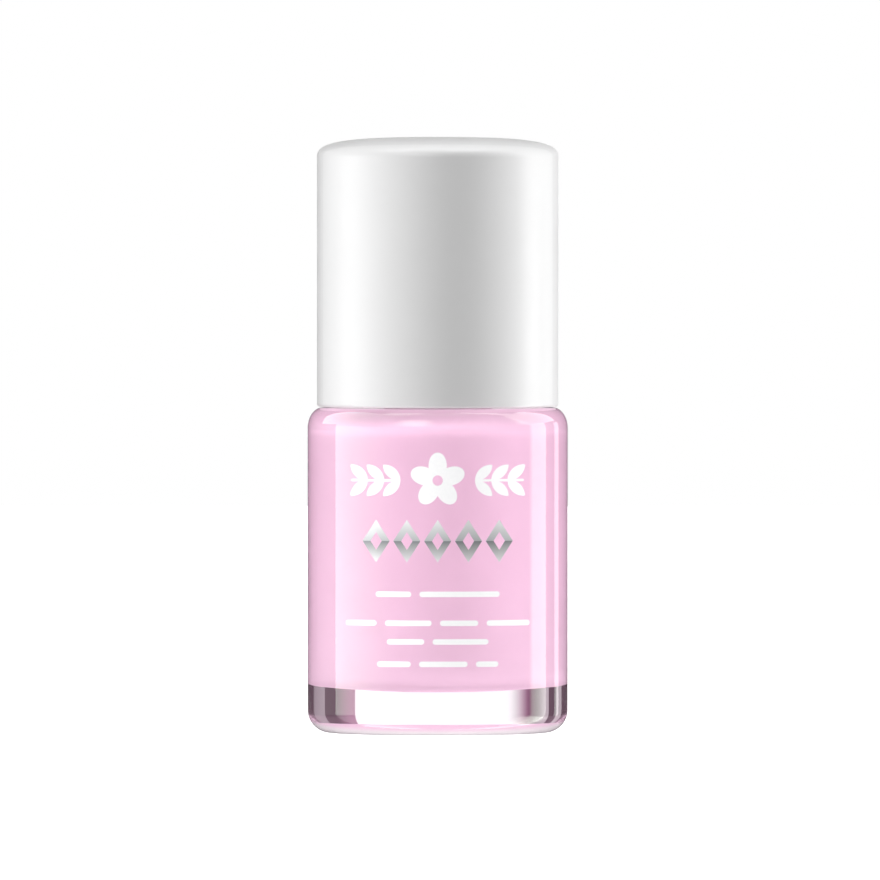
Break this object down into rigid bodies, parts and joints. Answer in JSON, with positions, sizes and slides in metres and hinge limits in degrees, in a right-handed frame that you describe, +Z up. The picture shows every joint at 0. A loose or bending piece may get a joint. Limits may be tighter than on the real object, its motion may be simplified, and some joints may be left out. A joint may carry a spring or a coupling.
{
  "type": "nail polish bottle",
  "caption": "Round clear glass nail polish bottle of pink lacquer, with a tall white domed screw cap that carries the applicator brush.",
  "frame": {"origin": "centre of the plane the bottle stands on, on the bottle's axis", "axes": "+Z up along the bottle's axis; the printed front faces -Y; +X is the viewer's right when facing the print"},
  "size_m": [0.028, 0.0281, 0.0641],
  "materials": {
    "glass_bottle": "clear polished soda-lime glass",
    "lacquer": null,
    "mixing_ball": "polished stainless steel",
    "base_label": "plain white coated paper sticker",
    "print_white": "white screen-printed ink",
    "print_silver": "silver hot-stamped foil ink",
    "sealing_gasket": "soft white polyethylene foam ring",
    "brush_wand": "natural white moulded polyethylene",
    "brush_bristles": "black nylon filaments",
    "anchor_staple": "bare stainless strip",
    "inner_cap": "satin white moulded polypropylene",
    "overcap": "high-gloss white moulded plastic"
  },
  "bodies": {
    "bottle": {"glass_bottle": "glass_bottle", "lacquer": "lacquer", "base_label": "base_label", "print_white": "print_white", "print_silver": "print_silver"},
    "gasket": {"sealing_gasket": "sealing_gasket"},
    "bristles": {"brush_bristles": "brush_bristles"},
    "cap": {"overcap": "overcap", "inner_cap": "inner_cap", "brush_wand": "brush_wand", "anchor_staple": "anchor_staple"},
    "ball_a": {"mixing_ball_a": "mixing_ball"},
    "ball_b": {"mixing_ball_b": "mixing_ball"}
  },
  "joints": [
    {"name": "cap_lift", "type": "slide", "parent": "bottle", "child": "gasket", "axis": [0, 0, 1], "range_m": [0, 0.045], "deforming": ["lacquer"]},
    {"name": "cap_rise", "type": "slide", "parent": "gasket", "child": "bristles", "axis": [0, 0, 1], "range_m": [0, 0.0032]},
    {"name": "cap_turn", "type": "hinge", "parent": "bristles", "child": "cap", "pos_m": [0, 0, 0.0484], "axis": [0, 0, 1], "range_deg": [0, 540]},
    {"name": "ball_a_rattle", "type": "slide", "parent": "bottle", "child": "ball_a", "axis": [0, 0, 1], "range_m": [0, 0.0235], "deforming": ["lacquer"]},
    {"name": "ball_b_rattle", "type": "slide", "parent": "bottle", "child": "ball_b", "axis": [0, 0, 1], "range_m": [0, 0.0235], "deforming": ["lacquer"]}
  ],
  "couplings": [
    {"joint": "cap_rise", "follows": "cap_turn", "m_per_rad": 0.00033688}
  ]
}
